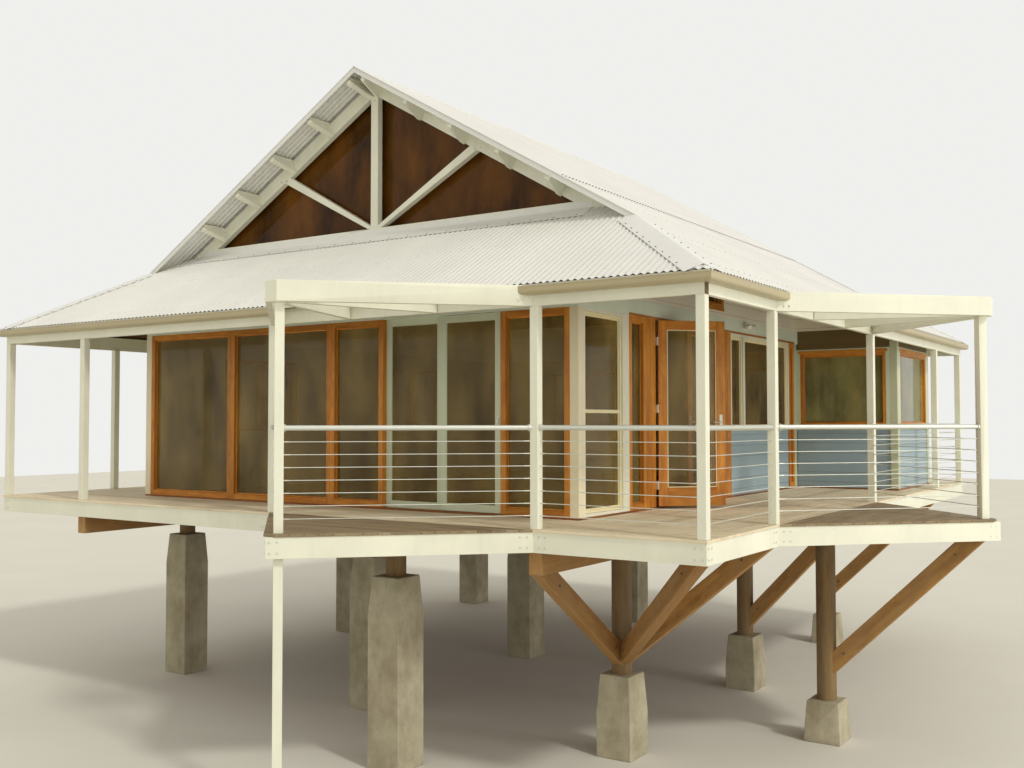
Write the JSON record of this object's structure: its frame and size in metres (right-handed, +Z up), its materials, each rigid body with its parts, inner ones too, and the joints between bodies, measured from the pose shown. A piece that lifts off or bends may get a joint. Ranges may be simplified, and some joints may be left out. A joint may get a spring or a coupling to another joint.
{
  "type": "timber stilt house",
  "caption": "Square timber pavilion on poles and raking braces, with a corrugated hipped gable roof, a railed verandah and triangular bays.",
  "frame": {"origin": "middle of the whole outline in plan, at the lowest ground under the front right footing", "axes": "+X to the right of the front, +Y towards the back, +Z up"},
  "size_m": [12.6844, 12.6844, 8.179],
  "materials": {
    "concrete": "rough cast concrete",
    "round_pole": "weathered round timber",
    "brace_timber": "oiled sawn timber",
    "frame_timber": "treated framing timber, in shade",
    "cream_paint": "satin cream paint on timber",
    "green_paint": "satin pale green paint on timber",
    "panel_paint": "satin blue-grey paint on flat sheet",
    "deck_boards": "weathered hardwood boards",
    "bay_boards": "darker weathered hardwood boards",
    "floor_timber": "sealed timber floor",
    "cedar": "oiled orange cedar",
    "gable_timber": "brown oiled boards in shade",
    "clear_glass": "clear window glass",
    "rail_steel": "galvanised and white coated steel",
    "gutter_steel": "coated beige steel",
    "roof_steel": "coated corrugated white steel"
  },
  "bodies": {
    "house": {"footings": "concrete", "poles": "round_pole", "pole_braces": "brace_timber", "bearers": "brace_timber", "joists": "frame_timber", "deck_fascia": "cream_paint", "decking": "deck_boards", "front_bay_decking": "bay_boards", "right_bay_decking": "bay_boards", "house_floor": "floor_timber", "front_posts": "cream_paint", "right_posts": "cream_paint", "back_posts": "cream_paint", "left_posts": "cream_paint", "front_bay_post": "cream_paint", "right_bay_post": "cream_paint", "eaves_beams": "cream_paint", "front_pergola": "cream_paint", "right_pergola": "cream_paint", "gutters": "gutter_steel", "front_railing": "rail_steel", "right_railing": "rail_steel", "back_railing": "rail_steel", "corner_posts": "green_paint", "front_wall": "cedar", "right_wall": "cedar", "right_windows": "cream_paint", "lower_panels": "panel_paint", "back_wall": "green_paint", "left_wall": "green_paint", "side_bay_wall": "green_paint", "lintels": "green_paint", "upper_wall": "green_paint", "front_glass": "clear_glass", "right_glass": "clear_glass", "window_glass": "clear_glass", "side_bay_glass": "clear_glass", "upper_glass": "clear_glass", "sliding_side_panel": "green_paint", "door_hinges": "rail_steel", "front_roof": "roof_steel", "right_roof": "roof_steel", "back_roof": "roof_steel", "left_roof": "roof_steel", "ridge_cap": "roof_steel", "hip_caps": "roof_steel", "gable_flashings": "roof_steel", "front_truss": "cream_paint", "back_truss": "cream_paint", "front_gable": "gable_timber", "back_gable": "gable_timber", "outriggers": "cream_paint"},
    "left_leaf": {"french_door_left": "cedar"},
    "right_leaf": {"french_door_right": "cedar"},
    "slider": {"sliding_door": "green_paint"}
  },
  "joints": [
    {"name": "french_left_swing", "type": "hinge", "parent": "house", "child": "left_leaf", "pos_m": [2.6825, -1.6725, 2.63], "axis": [0, 0, 1], "range_deg": [-45, 45]},
    {"name": "french_right_swing", "type": "hinge", "parent": "house", "child": "right_leaf", "pos_m": [2.6825, 0.0375, 2.63], "axis": [0, 0, 1], "range_deg": [0, 90]},
    {"name": "door_slide", "type": "slide", "parent": "house", "child": "slider", "axis": [-1, 0, 0], "range_m": [0, 0.8]}
  ]
}
